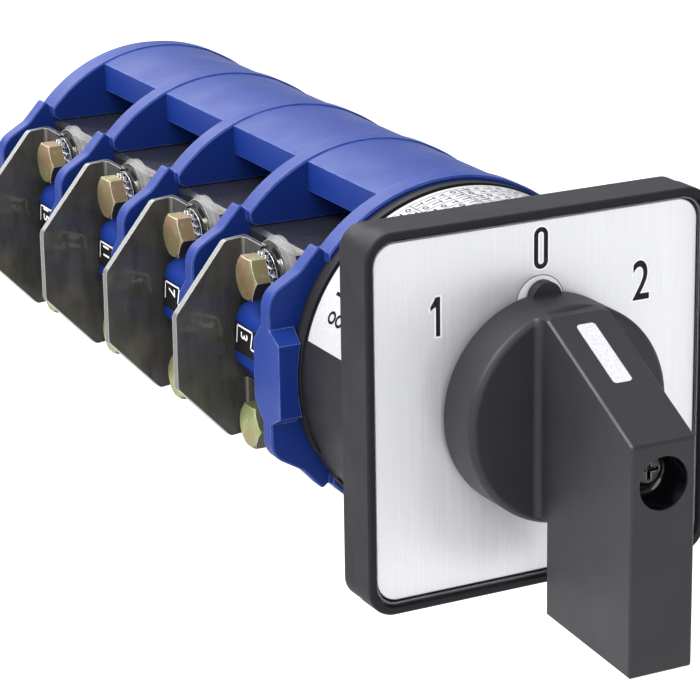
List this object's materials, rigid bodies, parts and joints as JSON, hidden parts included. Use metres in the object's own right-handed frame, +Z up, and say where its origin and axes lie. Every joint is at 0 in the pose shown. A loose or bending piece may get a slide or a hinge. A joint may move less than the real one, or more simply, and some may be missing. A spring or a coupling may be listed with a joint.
{
  "type": "manual transfer switch",
  "caption": "Panel-mounted cam-operated manual transfer switch with three positions, lever handle, square legend plate and stacked blue contact decks with side screw terminals.",
  "frame": {"origin": "on the shaft axis, in the plane of the front panel's back face, between the escutcheon and the mounting plate", "axes": "+Y along the shaft towards the rear, +Z up with the handle's mark at 0, +X to the operator's right"},
  "size_m": [0.1144, 0.2707, 0.0908],
  "materials": {
    "black_plastic": "fine moulded texture",
    "handle_plastic": "satin moulded",
    "white_inlay": "printed white",
    "steel": "bright zinc",
    "zinc_yellow": "yellow chromate",
    "legend_aluminium": "vertical brushing",
    "clear_sheet": "clear polycarbonate",
    "label_paper": "printed film",
    "label_black": "printed film",
    "copper": "tinned copper",
    "blue_plastic": "satin moulded",
    "inner_plastic": "plain moulded",
    "chamber_plastic": "moulded phenolic",
    "smoke_cover": "smoke tinted clear sheet"
  },
  "bodies": {
    "switch_body": {"escutcheon_frame": "black_plastic", "legend_plate": "legend_aluminium", "legend_cover": "clear_sheet", "mounting_plate": "black_plastic", "index_housing": "black_plastic", "rating_label": "label_paper", "index_cover": "black_plastic", "detent_springs": "steel", "rear_cover": "blue_plastic", "tie_bolts": "steel", "tie_nuts": "steel", "deck_housing_1": "blue_plastic", "contact_chamber_1": "chamber_plastic", "terminal_cover_right_1": "smoke_cover", "terminal_cover_left_1": "smoke_cover", "deck_housing_2": "blue_plastic", "contact_chamber_2": "chamber_plastic", "terminal_cover_right_2": "smoke_cover", "terminal_cover_left_2": "smoke_cover", "deck_housing_3": "blue_plastic", "contact_chamber_3": "chamber_plastic", "terminal_cover_right_3": "smoke_cover", "terminal_cover_left_3": "smoke_cover", "deck_housing_4": "blue_plastic", "contact_chamber_4": "chamber_plastic", "terminal_cover_right_4": "smoke_cover", "terminal_cover_left_4": "smoke_cover", "guide_towers": "chamber_plastic", "fixed_contacts": "copper", "terminal_bolts": "zinc_yellow", "washers": "steel", "number_labels": "label_black", "contact_springs": "steel"},
    "rotor": {"handle": "handle_plastic", "handle_indicator": "white_inlay", "handle_screw": "steel", "shaft": "steel", "detent_wheel": "black_plastic", "cam_1": "inner_plastic", "cam_2": "inner_plastic", "cam_3": "inner_plastic", "cam_4": "inner_plastic"},
    "contact_set_upper_1": {"carrier_upper_1": "inner_plastic", "bridge_upper_1": "copper"},
    "contact_set_lower_1": {"carrier_lower_1": "inner_plastic", "bridge_lower_1": "copper"},
    "contact_set_upper_2": {"carrier_upper_2": "inner_plastic", "bridge_upper_2": "copper"},
    "contact_set_lower_2": {"carrier_lower_2": "inner_plastic", "bridge_lower_2": "copper"},
    "contact_set_upper_3": {"carrier_upper_3": "inner_plastic", "bridge_upper_3": "copper"},
    "contact_set_lower_3": {"carrier_lower_3": "inner_plastic", "bridge_lower_3": "copper"},
    "contact_set_upper_4": {"carrier_upper_4": "inner_plastic", "bridge_upper_4": "copper"},
    "contact_set_lower_4": {"carrier_lower_4": "inner_plastic", "bridge_lower_4": "copper"},
    "detent_upper": {"detent_plunger_upper": "inner_plastic"},
    "detent_lower": {"detent_plunger_lower": "inner_plastic"}
  },
  "joints": [
    {"name": "handle_turn", "type": "hinge", "parent": "switch_body", "child": "rotor", "pos_m": [0, 0, 0], "axis": [0, 1, 0], "range_deg": [-45, 45]},
    {"name": "contact_travel_upper_1", "type": "slide", "parent": "switch_body", "child": "contact_set_upper_1", "axis": [0, 0, 1], "range_m": [-0.0016, 0.0016], "deforming": ["contact_springs"]},
    {"name": "contact_travel_lower_1", "type": "slide", "parent": "switch_body", "child": "contact_set_lower_1", "axis": [0, 0, 1], "range_m": [-0.0016, 0.0016]},
    {"name": "contact_travel_upper_2", "type": "slide", "parent": "switch_body", "child": "contact_set_upper_2", "axis": [0, 0, 1], "range_m": [-0.0016, 0.0016], "deforming": ["contact_springs"]},
    {"name": "contact_travel_lower_2", "type": "slide", "parent": "switch_body", "child": "contact_set_lower_2", "axis": [0, 0, 1], "range_m": [-0.0016, 0.0016]},
    {"name": "contact_travel_upper_3", "type": "slide", "parent": "switch_body", "child": "contact_set_upper_3", "axis": [0, 0, 1], "range_m": [-0.0016, 0.0016], "deforming": ["contact_springs"]},
    {"name": "contact_travel_lower_3", "type": "slide", "parent": "switch_body", "child": "contact_set_lower_3", "axis": [0, 0, 1], "range_m": [-0.0016, 0.0016]},
    {"name": "contact_travel_upper_4", "type": "slide", "parent": "switch_body", "child": "contact_set_upper_4", "axis": [0, 0, 1], "range_m": [-0.0016, 0.0016], "deforming": ["contact_springs"]},
    {"name": "contact_travel_lower_4", "type": "slide", "parent": "switch_body", "child": "contact_set_lower_4", "axis": [0, 0, 1], "range_m": [-0.0016, 0.0016]},
    {"name": "detent_travel_upper", "type": "slide", "parent": "switch_body", "child": "detent_upper", "axis": [0, 0, 1], "range_m": [-0.0013, 0], "deforming": ["detent_springs"]},
    {"name": "detent_travel_lower", "type": "slide", "parent": "switch_body", "child": "detent_lower", "axis": [0, 0, -1], "range_m": [-0.0013, 0], "deforming": ["detent_springs"]}
  ],
  "couplings": [
    {"joint": "contact_travel_upper_1", "follows": "handle_turn", "m_per_rad": 0.002037},
    {"joint": "contact_travel_lower_1", "follows": "handle_turn", "m_per_rad": 0.002037},
    {"joint": "contact_travel_upper_2", "follows": "handle_turn", "m_per_rad": 0.002037},
    {"joint": "contact_travel_lower_2", "follows": "handle_turn", "m_per_rad": 0.002037},
    {"joint": "contact_travel_upper_3", "follows": "handle_turn", "m_per_rad": 0.002037},
    {"joint": "contact_travel_lower_3", "follows": "handle_turn", "m_per_rad": 0.002037},
    {"joint": "contact_travel_upper_4", "follows": "handle_turn", "m_per_rad": 0.002037},
    {"joint": "contact_travel_lower_4", "follows": "handle_turn", "m_per_rad": 0.002037}
  ]
}
